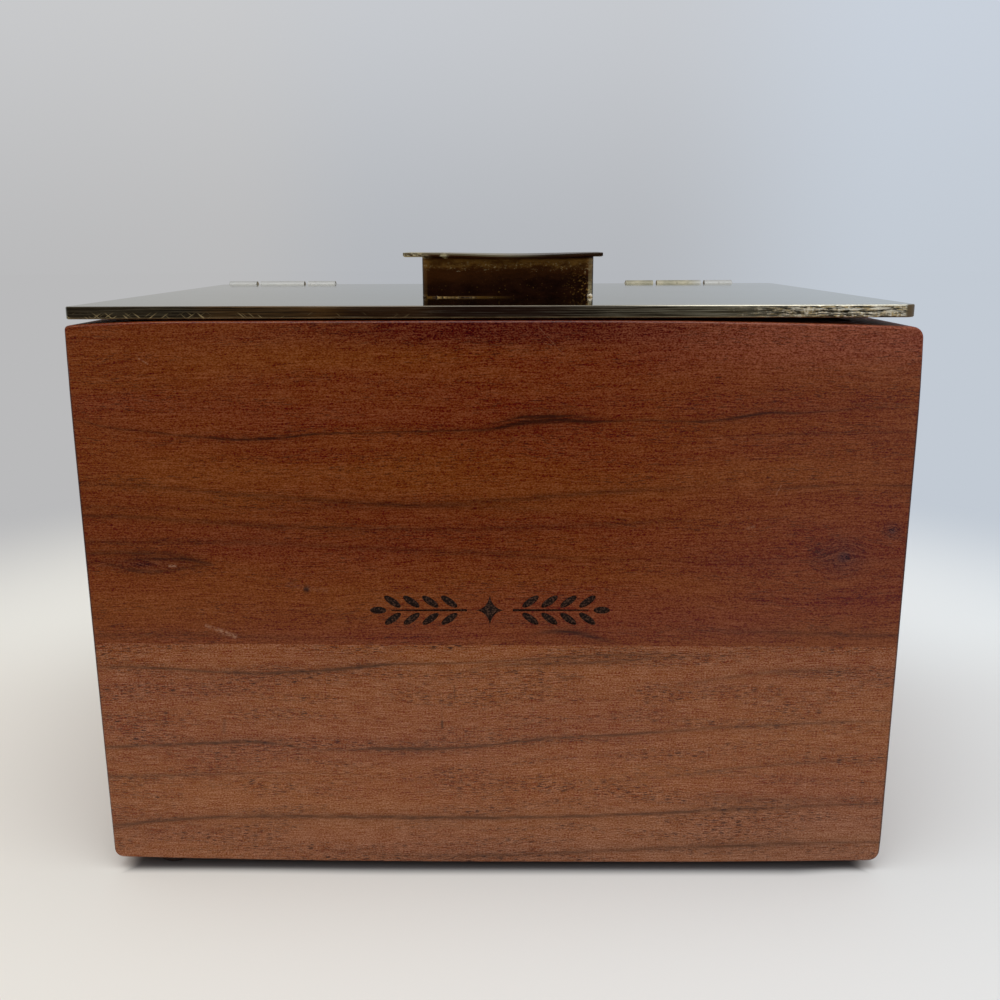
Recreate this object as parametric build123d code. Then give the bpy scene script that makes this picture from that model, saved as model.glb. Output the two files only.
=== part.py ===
# Recipe card box.
#
# A mitred hardwood case, each wall edge-glued from an upper and a lower board, holds a base panel in a
# rabbet and stands on four rubber feet. A heavy brass lid plate with a soldered lifting knob lies flat on
# the rim. It turns on two rolled-knuckle butt hinges, whose barrels lie behind the case.
#
# Millimetres. +Z is up, the front faces -Y, and the origin is on the floor at the middle of the whole box.

import math
import os

from build123d import *

# ---- case ----
case_width = 184.6
case_depth = 133.5
wall_height = 129.28
wall_thickness = 12.0
inner_arris = 1.2  # taken off the rim's inner edge
seam_height = 55.8  # glue line between the two boards of a wall, above the wall's lower edge
seam_tilt = 0.28  # degrees, down towards the right
front_edge_radius = 0.6  # all round the front face
back_edge_bevel = 0.5  # all round the back face

# The case is sanded by hand, so the rim and the underside fall away broadly towards the left and the right
# before they turn the corner. At each corner, the run is how far the easing reaches along the rim or the
# underside and the fall is how far it drops there, the side run is how far it reaches along the side and
# the inset is how far it comes in there, and the radius is the corner's own.
top_left_run = 24.0
top_left_fall = 0.9
top_left_side_run = 25.0
top_left_inset = 0.3
top_left_radius = 1.0
top_right_run = 82.0
top_right_fall = 1.6
top_right_side_run = 25.0
top_right_inset = 0.6
top_right_radius = 2.5
bottom_left_run = 90.0
bottom_left_fall = 1.3
bottom_left_side_run = 85.0
bottom_left_inset = 0.25
bottom_left_radius = 2.2
bottom_right_run = 60.0
bottom_right_fall = 0.6
bottom_right_side_run = 8.0
bottom_right_inset = 0.3
bottom_right_radius = 2.6

# ---- base panel ----
base_thickness = 5.5
rabbet_depth = 5.5  # how far the panel enters each wall
rabbet_clearance = 0.1

# ---- feet ----
foot_diameter = 8.4
foot_height = 2.0  # lowest point of the case above the floor
foot_taper = 0.3  # how much narrower the foot's radius is where it stands
foot_edge_bevel = 0.5
foot_side_inset = 13.0  # foot centre from the left or right face

# Foot centre from the front or back face. They were stuck on by eye.
front_left_inset = 7.0
front_right_inset = 10.5
back_left_inset = 8.5
back_right_inset = 8.0

# ---- lid plate ----
lid_thickness = 2.7
lid_left_inset = 0.45
lid_right_inset = 1.8
lid_front_inset = 1.0
lid_rest_gap = 0.42  # between the rim and the closed plate
lid_front_left_radius = 0.8
lid_front_right_radius = 3.0
lid_back_radius = 3.5
lid_arris = 0.2
lid_barrel_gap = 0.35  # between the plate's back edge and the hinge barrels

# ---- knob ----
knob_width = 42.1
knob_depth = 14.0
knob_height = 9.7
knob_wall = 1.2
knob_corner_radius = 2.0  # outside
knob_setback = 36.0  # front of the collar from the lid's front edge
knob_side_shift = 3.05  # from the middle of the case
cap_thickness = 1.1
cap_left_overhang = 4.3
cap_right_overhang = 1.95
cap_front_overhang = 2.5
cap_back_overhang = 2.5
cap_corner_radius = 1.2
cap_lip_drop = 0.35  # how far the front overhang is bent down at its edge

# ---- hinges ----
left_hinge_inset = 1.4  # outer end of the hinge from the lid's side edge
right_hinge_inset = 12.5
middle_knuckle = 14.7
outer_knuckle = 9.1
knuckle_gap = 1.25
pin_radius = 1.2
pin_clearance = 0.05
pin_head_radius = 1.75
pin_head_height = 0.45
pin_head_bevel = 0.25
leaf_thickness = 1.1
leaf_corner_radius = 1.5
lid_leaf_reach = 11.5  # hinge axis to the leaf's front edge
wall_leaf_drop = 13.5  # hinge axis to the leaf's lower edge
barrel_relief = 0.4  # between a leaf and the other leaf's knuckle
mortise_clearance = 0.4  # around the lid leaf, in the rim

# ---- hinge screws ----
screw_spacing = 22.0
screw_drop = 8.6  # hinge axis to the screw row
screw_length = 7.5
screw_radius = 1.1
screw_head_radius = 2.1
screw_slot_width = 0.55
screw_slot_depth = 0.45
screw_slot_length = 8.4
screw_clearance = 0.05
first_screw_turn = 25.0  # degrees; each screw was driven home at its own angle
screw_turn_step = 50.0

# ---- places worked out from the sizes ----
top_left_easing = (top_left_run, top_left_fall, top_left_side_run, top_left_inset, top_left_radius)
top_right_easing = (top_right_run, top_right_fall, top_right_side_run, top_right_inset, top_right_radius)
bottom_left_easing = (
    bottom_left_run,
    bottom_left_fall,
    bottom_left_side_run,
    bottom_left_inset,
    bottom_left_radius,
)
bottom_right_easing = (
    bottom_right_run,
    bottom_right_fall,
    bottom_right_side_run,
    bottom_right_inset,
    bottom_right_radius,
)
barrel_radius = pin_radius + pin_clearance + leaf_thickness
bore_radius = pin_radius + pin_clearance
hinge_length = middle_knuckle + 2 * (knuckle_gap + outer_knuckle)
lid_left_x = lid_left_inset - case_width / 2
lid_right_x = case_width / 2 - lid_right_inset
hinge_centres = {
    "left": lid_left_x + left_hinge_inset + hinge_length / 2,
    "right": lid_right_x - right_hinge_inset - hinge_length / 2,
}
case_centre_y = -barrel_radius
front_y = case_centre_y - case_depth / 2
back_y = case_centre_y + case_depth / 2
floor_of_case = foot_height
seam_z = floor_of_case + seam_height
rim_z = floor_of_case + wall_height
lid_z = rim_z + lid_rest_gap
lid_top_z = lid_z + lid_thickness
lid_front_y = front_y + lid_front_inset
lid_back_y = back_y - lid_barrel_gap
axis_y = back_y + barrel_radius
axis_z = lid_z + barrel_radius - leaf_thickness
knob_centre_y = lid_front_y + knob_setback + knob_depth / 2
cap_z = lid_top_z + knob_height
screw_z = axis_z - screw_drop
countersink_depth = screw_head_radius - screw_radius


def write(name, shape):
    shape.label = name
    export_step(shape, f"parts/{name}.step")


# ---- case: outer form, walls, boards ----


def eased_outline(width, height, lower_left, lower_right, upper_right, upper_left):
    # A rectangle standing on the X axis. Near each corner two arcs leave the flats at a tangent, and where
    # they meet the corner is rounded.
    half = width / 2
    corners = {
        "lower_left": (-1, 0, lower_left),
        "lower_right": (1, 0, lower_right),
        "upper_right": (1, height, upper_right),
        "upper_left": (-1, height, upper_left),
    }
    edges, on_flat, on_face, tips = [], {}, {}, {}
    for name, (side, level, easing) in corners.items():
        run, fall, face_run, inset, radius = easing
        inwards = -1 if level else 1
        on_flat[name] = (side * (half - run), level)
        on_face[name] = (side * half, level + inwards * face_run)
        tips[name] = (side * (half - inset), level + inwards * fall)
        edges.append(TangentArc(on_flat[name], tips[name], tangent=(side, 0)))
        edges.append(TangentArc(on_face[name], tips[name], tangent=(0, -inwards)))
    edges.append(Line(on_flat["lower_left"], on_flat["lower_right"]))
    edges.append(Line(on_flat["upper_left"], on_flat["upper_right"]))
    edges.append(Line(on_face["lower_left"], on_face["upper_left"]))
    edges.append(Line(on_face["lower_right"], on_face["upper_right"]))
    outline = make_face(edges)
    for name, (_, _, easing) in corners.items():
        outline = fillet(outline.vertices().sort_by_distance(tips[name])[0], easing[-1])
    return outline


def case_form():
    outline = eased_outline(
        case_width, wall_height, bottom_left_easing, bottom_right_easing, top_right_easing, top_left_easing
    )
    form = extrude(Plane.XZ * outline, case_depth / 2, both=True)
    form = fillet(form.faces().sort_by(Axis.Y)[0].edges(), front_edge_radius)
    form = chamfer(form.faces().sort_by(Axis.Y)[-1].edges(), back_edge_bevel)
    return Pos(0, case_centre_y, floor_of_case) * form


def wall_blank(length, across):
    # The wall on the -Y side of a frame that is `across` deep, mitred at both ends.
    half = length / 2
    outer = -across / 2
    inner = outer + wall_thickness
    corners = [(-half, outer), (half, outer), (half - wall_thickness, inner), (wall_thickness - half, inner)]
    blank = extrude(make_face(Polyline(*corners, close=True)), wall_height)
    top_edges = blank.edges().filter_by(Axis.X).group_by(Axis.Z)[-1]
    return chamfer(top_edges.sort_by(Axis.Y)[-1], inner_arris)


def base_panel(clearance=0.0):
    entry = wall_thickness - rabbet_depth - clearance
    panel = Box(
        case_width - 2 * entry,
        case_depth - 2 * entry,
        base_thickness,
        align=(Align.CENTER, Align.CENTER, Align.MIN),
    )
    return Pos(0, case_centre_y, floor_of_case) * panel


def lid_leaf_mortise(centre_x):
    # Open to the back and to the top, so it is drawn well past both.
    front = axis_y - lid_leaf_reach - mortise_clearance
    depth = back_y - front + barrel_radius
    floor = axis_z - barrel_radius - mortise_clearance
    pocket = Box(
        hinge_length + 2 * mortise_clearance,
        depth,
        lid_top_z - floor,
        align=(Align.CENTER, Align.MIN, Align.MIN),
    )
    return Pos(centre_x, front, floor) * pocket


def build_walls(form):
    rabbet = base_panel(rabbet_clearance)
    blanks = {
        "front": wall_blank(case_width, case_depth),
        "back": Rot(0, 0, 180) * wall_blank(case_width, case_depth),
        "left": Rot(0, 0, -90) * wall_blank(case_depth, case_width),
        "right": Rot(0, 0, 90) * wall_blank(case_depth, case_width),
    }
    seam = Plane.XY.offset(seam_z).rotated((0, seam_tilt, 0))
    for side, blank in blanks.items():
        wall = Pos(0, case_centre_y, floor_of_case) * blank & form
        wall -= rabbet
        for centre_x in hinge_centres.values():
            wall -= lid_leaf_mortise(centre_x)
            for place in screw_places(centre_x):
                wall -= place * screw_body(screw_clearance)
        write(f"{side}_upper_board", split(wall, bisect_by=seam, keep=Keep.TOP))
        write(f"{side}_lower_board", split(wall, bisect_by=seam, keep=Keep.BOTTOM))


# ---- base and feet ----


def foot(side, easing):
    # A tapered stub whose top is cut to the slope of the underside above its centre.
    run, fall, _, tip_inset, _ = easing
    along = run - foot_side_inset
    arc_radius = ((run - tip_inset) ** 2 + fall**2) / (2 * fall)
    rise = arc_radius - math.sqrt(arc_radius**2 - along**2)
    slope = side * along / (arc_radius - rise)
    stub = Cone(
        foot_diameter / 2 - foot_taper,
        foot_diameter / 2,
        foot_height + fall,
        align=(Align.CENTER, Align.CENTER, Align.MIN),
    )
    stub = chamfer(stub.edges().group_by(Axis.Z)[0], foot_edge_bevel)
    underside = Plane(origin=(0, 0, foot_height + rise), z_dir=(-slope, 0, 1))
    return split(stub, bisect_by=underside, keep=Keep.BOTTOM)


def build_base(form):
    write("base_panel", base_panel() & form)
    side_x = case_width / 2 - foot_side_inset
    left_foot = foot(-1, bottom_left_easing)
    right_foot = foot(1, bottom_right_easing)
    write("front_left_foot", Pos(-side_x, front_y + front_left_inset, 0) * left_foot)
    write("front_right_foot", Pos(side_x, front_y + front_right_inset, 0) * right_foot)
    write("back_left_foot", Pos(-side_x, back_y - back_left_inset, 0) * left_foot)
    write("back_right_foot", Pos(side_x, back_y - back_right_inset, 0) * right_foot)


# ---- hinges and their screws ----


def screw_body(clearance=0.0):
    # Countersunk wood screw along Z, with the head's flat top at zero and a blunt end.
    head = screw_head_radius + clearance
    shank = screw_radius + clearance
    end = -screw_length - clearance
    outline = Polyline((0, 0), (head, 0), (shank, -countersink_depth), (shank, end), (0, end), close=True)
    return revolve(Plane.XZ * make_face(outline), Axis.Z)


def screw_places(centre_x):
    # Head towards +Y, flush with the outside of the wall leaf.
    head_y = back_y + leaf_thickness
    xs = [centre_x - screw_spacing / 2, centre_x + screw_spacing / 2]
    return [Pos(x, head_y, screw_z) * Rot(-90, 0, 0) for x in xs]


def build_screws():
    slot = Box(screw_slot_length, screw_slot_width, 2 * screw_slot_depth)
    screws = []
    for centre_x in hinge_centres.values():
        for place in screw_places(centre_x):
            turn = first_screw_turn + screw_turn_step * len(screws)
            screws.append(place * Rot(0, 0, turn) * (screw_body() - slot))
    write("hinge_screws", Compound(children=screws))


def along_x(section, start, length):
    # A section drawn in Y and Z about the hinge axis, extruded along the axis.
    return Pos(start, axis_y, axis_z) * extrude(Plane.YZ * section, length)


def rounded_far_corners(leaf, axis, thickness_axis):
    # The two corners of a leaf that lie farthest from the barrel.
    far_edges = leaf.edges().filter_by(thickness_axis).group_by(axis)[0]
    return fillet(far_edges, leaf_corner_radius)


def rolled_leaf(strip, knuckle_strip, far_axis, thickness_axis, centre_x, knuckles):
    # `strip` is the flat of the leaf, `knuckle_strip` its run up to the barrel, both seen along the axis.
    first_x = centre_x - hinge_length / 2
    leaf = rounded_far_corners(along_x(strip, first_x, hinge_length), far_axis, thickness_axis)
    roll = Circle(barrel_radius) + knuckle_strip - Circle(bore_radius)
    for start, length in knuckles:
        leaf += along_x(roll, first_x + start, length)
    return leaf


def build_hinges():
    relief = barrel_radius + barrel_relief
    corner = (Align.MIN, Align.MIN)

    # The wall leaf hangs down the back face and carries the two outer knuckles.
    wall_strip = Pos(-barrel_radius, -wall_leaf_drop) * Rectangle(
        leaf_thickness, wall_leaf_drop - relief, align=corner
    )
    wall_roll = Pos(-barrel_radius, -wall_leaf_drop) * Rectangle(leaf_thickness, wall_leaf_drop, align=corner)
    wall_roll -= Pos(-barrel_radius, -wall_leaf_drop) * Rectangle(
        leaf_thickness, wall_leaf_drop - relief, align=corner
    )
    last_knuckle = hinge_length - outer_knuckle
    wall_knuckles = [(0, outer_knuckle), (last_knuckle, outer_knuckle)]

    # The lid leaf runs forward under the plate and carries the middle knuckle.
    lid_strip = Pos(-lid_leaf_reach, -barrel_radius) * Rectangle(
        lid_leaf_reach - relief, leaf_thickness, align=corner
    )
    lid_roll = Pos(-relief, -barrel_radius) * Rectangle(relief, leaf_thickness, align=corner)
    lid_knuckles = [(outer_knuckle + knuckle_gap, middle_knuckle)]

    pin = Cylinder(pin_radius, hinge_length)
    for end in (-1, 1):
        head = Cylinder(pin_head_radius, pin_head_height)
        head = chamfer(head.edges().group_by(Axis.Z)[-1], pin_head_bevel)
        head = Rot(0, 0 if end > 0 else 180, 0) * head
        pin += Pos(0, 0, end * (hinge_length + pin_head_height) / 2) * head

    for side, centre_x in hinge_centres.items():
        wall_leaf = rolled_leaf(wall_strip, wall_roll, Axis.Z, Axis.Y, centre_x, wall_knuckles)
        for place in screw_places(centre_x):
            wall_leaf -= place * screw_body(screw_clearance)
        write(f"{side}_hinge_wall_leaf", wall_leaf)
        lid_leaf = rolled_leaf(lid_strip, lid_roll, Axis.Y, Axis.Z, centre_x, lid_knuckles)
        write(f"{side}_hinge_lid_leaf", lid_leaf)
        write(f"{side}_hinge_pin", Pos(centre_x, axis_y, axis_z) * Rot(0, 90, 0) * pin)


# ---- lid plate and knob ----


def build_lid():
    width, depth = lid_right_x - lid_left_x, lid_back_y - lid_front_y
    outline = Pos(lid_left_x, lid_front_y) * Rectangle(width, depth, align=(Align.MIN, Align.MIN))
    front, back = outline.vertices().group_by(Axis.Y)
    outline = fillet(back, lid_back_radius)
    outline = fillet(outline.vertices().sort_by_distance(front.sort_by(Axis.X)[0])[0], lid_front_left_radius)
    outline = fillet(outline.vertices().sort_by_distance(front.sort_by(Axis.X)[1])[0], lid_front_right_radius)
    plate = extrude(outline, lid_thickness)
    rings = plate.edges().group_by(Axis.Z)
    plate = chamfer(rings[0] + rings[-1], lid_arris)
    write("lid_plate", Pos(0, 0, lid_z) * plate)


def build_knob():
    # The collar is a strip folded round four corners and soldered to the plate on edge.
    outside = RectangleRounded(knob_width, knob_depth, knob_corner_radius)
    inside = RectangleRounded(
        knob_width - 2 * knob_wall, knob_depth - 2 * knob_wall, knob_corner_radius - knob_wall
    )
    collar = extrude(outside - inside, knob_height)
    write("knob_collar", Pos(knob_side_shift, knob_centre_y, lid_top_z) * collar)

    # The cap overhangs the collar on every side, and its front overhang is bent down.
    bend_y = -knob_depth / 2
    lip_y = bend_y - cap_front_overhang
    rear_y = knob_depth / 2 + cap_back_overhang
    side_view = make_face(
        [
            Line((rear_y, 0), (rear_y, cap_thickness)),
            Line((rear_y, cap_thickness), (bend_y, cap_thickness)),
            TangentArc((bend_y, cap_thickness), (lip_y, cap_thickness - cap_lip_drop), tangent=(-1, 0)),
            Line((lip_y, cap_thickness - cap_lip_drop), (lip_y, -cap_lip_drop)),
            TangentArc((bend_y, 0), (lip_y, -cap_lip_drop), tangent=(-1, 0)),
            Line((bend_y, 0), (rear_y, 0)),
        ]
    )
    left_x = -knob_width / 2 - cap_left_overhang
    cap = Pos(left_x, 0, 0) * extrude(
        Plane.YZ * side_view, knob_width + cap_left_overhang + cap_right_overhang
    )
    cap = fillet(cap.edges().filter_by(Axis.Z), cap_corner_radius)
    write("knob_cap", Pos(knob_side_shift, knob_centre_y, cap_z) * cap)


os.makedirs("parts", exist_ok=True)
outer_form = case_form()
build_walls(outer_form)
build_base(outer_form)
build_screws()
build_hinges()
build_lid()
build_knob()
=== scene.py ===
import math

import bmesh
import bpy
from mathutils import Matrix, Vector, noise


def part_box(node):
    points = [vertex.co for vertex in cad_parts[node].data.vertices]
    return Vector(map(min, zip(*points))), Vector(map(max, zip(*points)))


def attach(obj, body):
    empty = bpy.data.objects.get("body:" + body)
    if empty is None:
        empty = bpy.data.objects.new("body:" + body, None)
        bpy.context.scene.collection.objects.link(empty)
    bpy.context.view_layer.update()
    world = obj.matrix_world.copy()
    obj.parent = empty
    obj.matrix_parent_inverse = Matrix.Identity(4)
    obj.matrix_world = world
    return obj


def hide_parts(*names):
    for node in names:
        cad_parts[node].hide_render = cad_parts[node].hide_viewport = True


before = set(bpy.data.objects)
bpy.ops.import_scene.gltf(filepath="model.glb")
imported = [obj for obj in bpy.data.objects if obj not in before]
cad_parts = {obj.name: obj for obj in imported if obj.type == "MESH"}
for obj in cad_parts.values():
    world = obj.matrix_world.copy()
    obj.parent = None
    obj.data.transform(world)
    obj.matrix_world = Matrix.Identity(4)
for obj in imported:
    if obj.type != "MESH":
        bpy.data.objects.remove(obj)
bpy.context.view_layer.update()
mm = 0.001
print("frame loaded with", len(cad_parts), "nodes")


# Shader values and nodes


class Value:  # a socket that takes part in plain sums
    def __init__(self, nodes, socket):
        self.nodes = nodes
        self.socket = socket

    def calc(self, operation, *terms):
        return self.nodes.add("Math", {"operation": operation}, dict(enumerate(terms)))

    def __add__(self, other):
        return self.calc("ADD", self, other)

    __radd__ = __add__

    def __sub__(self, other):
        return self.calc("SUBTRACT", self, other)

    def __rsub__(self, other):
        return self.calc("SUBTRACT", other, self)

    def __mul__(self, other):
        return self.calc("MULTIPLY", self, other)

    __rmul__ = __mul__

    def __truediv__(self, other):
        return self.calc("DIVIDE", self, other)

    def __rtruediv__(self, other):
        return self.calc("DIVIDE", other, self)

    def __pow__(self, other):
        return self.calc("POWER", self, other)

    def __neg__(self):
        return self * -1.0

    def step(self, low, high):  # smooth climb from 0 at low to 1 at high
        bounds = {"Value": self, "From Min": low, "From Max": high}
        return self.nodes.add("MapRange", {"interpolation_type": "SMOOTHSTEP"}, bounds)

    def bell(self, centre, width):  # 1 at the centre, gone two widths away
        off = (self - centre) / width
        return self.calc("EXPONENT", off * off * -1.0)

    def between(self, low, high, soft):  # 1 from low to high, gone by soft outside them
        return self.step(low - soft, low) * self.step(high + soft, high)

    def lesser(self, other):
        return self.calc("MINIMUM", self, other)

    def greater(self, other):
        return self.calc("MAXIMUM", self, other)

    def size(self):
        return self.calc("ABSOLUTE", self)

    def out(self, name):  # another output of the same node
        return Value(self.nodes, self.socket.node.outputs[name])


class Nodes:  # adds nodes to one tree
    def __init__(self, tree):
        self.tree = tree

    def add(self, kind, settings=None, sockets=None, output=0):
        made = self.tree.nodes.new("ShaderNode" + kind)
        for key, value in (settings or {}).items():
            if key == "stops":
                self.fillRamp(made.color_ramp, value)
            else:
                setattr(made, key, value)
        for key, value in (sockets or {}).items():
            if isinstance(value, Value):
                self.tree.links.new(value.socket, made.inputs[key])
            else:
                made.inputs[key].default_value = value
        return Value(self, made.outputs[output]) if len(made.outputs) else made

    def fillRamp(self, ramp, stops):
        ramp.interpolation = "CARDINAL"
        for place, colour in stops[1:-1]:
            ramp.elements.new(place).color = colour
        for element, (place, colour) in ((ramp.elements[0], stops[0]), (ramp.elements[-1], stops[-1])):
            element.position = place
            element.color = colour

    def vector(self, x, y, z):
        return self.add("CombineXYZ", {}, {0: x, 1: y, 2: z})

    def noise(self, x, y, z, detail=2.0, roughness=0.5):
        place = self.vector(x, y, z)
        sockets = {"Vector": place, "Scale": 1.0, "Detail": detail, "Roughness": roughness}
        return self.add("TexNoise", {}, sockets)

    def pattern(self, x, y, z, pitch):  # noise; the pitch is three lengths, the detail and the roughness
        return self.noise(x / pitch[0], y / pitch[1], z / pitch[2], pitch[3], pitch[4])

    def blend(self, factor, a, b, kind="MIX"):
        settings = {"data_type": "RGBA", "blend_type": kind, "clamp_result": kind == "ADD"}
        return self.add("Mix", settings, {0: factor, 6: a, 7: b}, 2)

    def layers(self, colour, look, *coats):  # lays colours of a look over the first, each (factor, name)
        for factor, name in coats:
            colour = self.blend(factor, colour, paint(look[name]))
        return colour

    def bump(self, height, depth):  # depth in metres
        return self.add("Bump", {}, {"Height": height, "Distance": depth})


def paint(code):  # "#rrggbb" as a shader colour
    parts = [int(code[i : i + 2], 16) / 255 for i in (1, 3, 5)]
    return tuple(p / 12.92 if p <= 0.04045 else ((p + 0.055) / 1.055) ** 2.4 for p in parts) + (1.0,)


class Finish(Nodes):  # one material around a Principled shader
    def __init__(self, name):
        self.material = bpy.data.materials.new(name)
        self.material.use_nodes = True
        super().__init__(self.material.node_tree)
        self.shader = self.tree.nodes["Principled BSDF"]

    def set(self, values):
        for key, value in values.items():
            if isinstance(value, Value):
                self.tree.links.new(value.socket, self.shader.inputs[key])
            else:
                self.shader.inputs[key].default_value = value

    def place(self):  # x, y and z on the piece, in millimetres
        x = self.add("SeparateXYZ", {}, {0: self.add("TexCoord", {}, {}, "Object")}, "X")
        return x / mm, x.out("Y") / mm, x.out("Z") / mm

    def stroke(self, along, up, start, end, width):  # a straight mark from start to end
        reach = math.dist(start, end)
        acrossAlong, acrossUp = (end[0] - start[0]) / reach, (end[1] - start[1]) / reach
        part = (along - start[0]) * acrossAlong + (up - start[1]) * acrossUp
        off = (up - start[1]) * acrossAlong - (along - start[0]) * acrossUp
        return off.bell(0.0, width) * part.between(0.0, reach, width)


# Sizes read from the frame, in millimetres


def nodeBox(name):
    low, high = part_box(name)
    return low / mm, high / mm


lowerFrontLow, lowerFrontHigh = nodeBox("front_lower_board")
caseTop = nodeBox("front_upper_board")[1].z
frontY = lowerFrontLow.y
halfWidth = lowerFrontHigh.x
backY = nodeBox("back_lower_board")[1].y
lidLow, lidHigh = nodeBox("lid_plate")
collarLow, collarHigh = nodeBox("knob_collar")
capLow, capHigh = nodeBox("knob_cap")
hingeAxisY = sum(nodeBox("left_hinge_pin"), Vector()).y / 2


# Wood. A vein is a list of points (along, up, half width, darkness); a stroke is (start, end, width,
# strength); a knot is (along, up, half length, half height, darkness).

woodLook = {
    "upper": {
        "red": "#6c2b08",
        "orange": "#76390a",
        "top": "#4e0d05",
        "lift": (0.115, 0.049, 0.024),  # how strongly the grain shows in red, green and blue
        "vein": "#2a0c02",
        "knot": "#4a2420",
        "pore": "#2c1006",
        "poreStrength": 0.60,
        "poreLow": 0.60,
        "stipple": 2.5,
        "fibre": 1.9,
        "streak": 0.5,
        "broad": 0.35,
        "figure": 0.25,
        "coat": 0.6,
    },
    "lower": {
        "red": "#834824",
        "orange": "#8c5228",
        "top": "#834824",
        "lift": (0.165, 0.114, 0.086),
        "vein": "#4c2a10",
        "knot": "#5a3426",
        "pore": "#38190b",
        "poreStrength": 0.95,
        "poreLow": 0.555,
        "stipple": 2.7,
        "fibre": 2.4,
        "streak": 0.35,
        "broad": 0.2,
        "figure": 0.25,
        "coat": 0.55,
    },
}
grainLook = {
    "seedAlong": 37.0,  # how far the pattern moves from board to board
    "seedDeep": 11.0,
    "sway": 7.0,  # how far the grain strays up and down, in millimetres
    "ripple": 1.5,
    "stray": 0.6,
    "knotPull": 0.75,
    "knotMost": 0.9,
    "knotCore": (0.45, 0.6),  # size and darkness
    "ringCount": 3.4,
    "ringSway": 0.6,
    "ringDark": (0.50, 0.25),
    "swayPitch": (70.0, 34.0, 34.0, 2.0, 0.5),  # along, up and deep, then detail and roughness
    "ripplePitch": (14.0, 6.0, 6.0, 2.0, 0.5),
    "stipplePitch": (0.42, 0.27, 0.3, 1.0, 0.6),
    "fibrePitch": (5.0, 0.20, 0.3, 2.0, 0.6),
    "streakPitch": (48.0, 1.5, 3.0, 3.0, 0.6),
    "broadPitch": (110.0, 11.0, 25.0, 2.0, 0.5),
    "huePitch": (90.0, 15.0, 20.0, 3.0, 0.6),
    "hueShift": 140.0,
    "figurePitch": (2.2, 8.0, 3.0, 2.0, 0.5),
    "poreSizePitch": (1.9, 0.17, 0.3, 1.0, 0.5),
    "poreFieldPitch": (30.0, 4.0, 8.0, 2.0, 0.5),
    "raggedPitch": (5.0, 0.5, 2.0, 3.0, 0.7),
    "strayPitch": (6.0, 2.0, 3.0, 2.0, 0.5),
    "scuffPitch": (0.7, 0.4, 1.0, 2.0, 0.7),
    "veinMost": 0.88,
    "veinWidth": 0.62,
    "veinCore": 0.85,
    "haloWidth": 4.5,
    "halo": 0.22,
    "relief": 0.04,  # millimetres
}
coatLook = {
    "roughness": 0.22,
    "specular": 0.03,
    "depth": (0.10, 0.45),  # full and gone at these depths below the outer faces
    "topBand": 0.8,
    # Several of these colours paint light: a pink sheen at the top right, a reflection of the floor low down,
    # and shade along the front's side edges.
    "paintedSheenStrength": (0.20, 0.07),
    "paintedFloorReflectionStrength": (0.08, 0.06),
    "rimStrength": 0.65,
    "tan": "#9c7054",
    "rim": "#1c0a05",
    "paintedSheen": "#b5685a",
    "paintedFloorReflection": "#a58a78",
}

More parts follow.
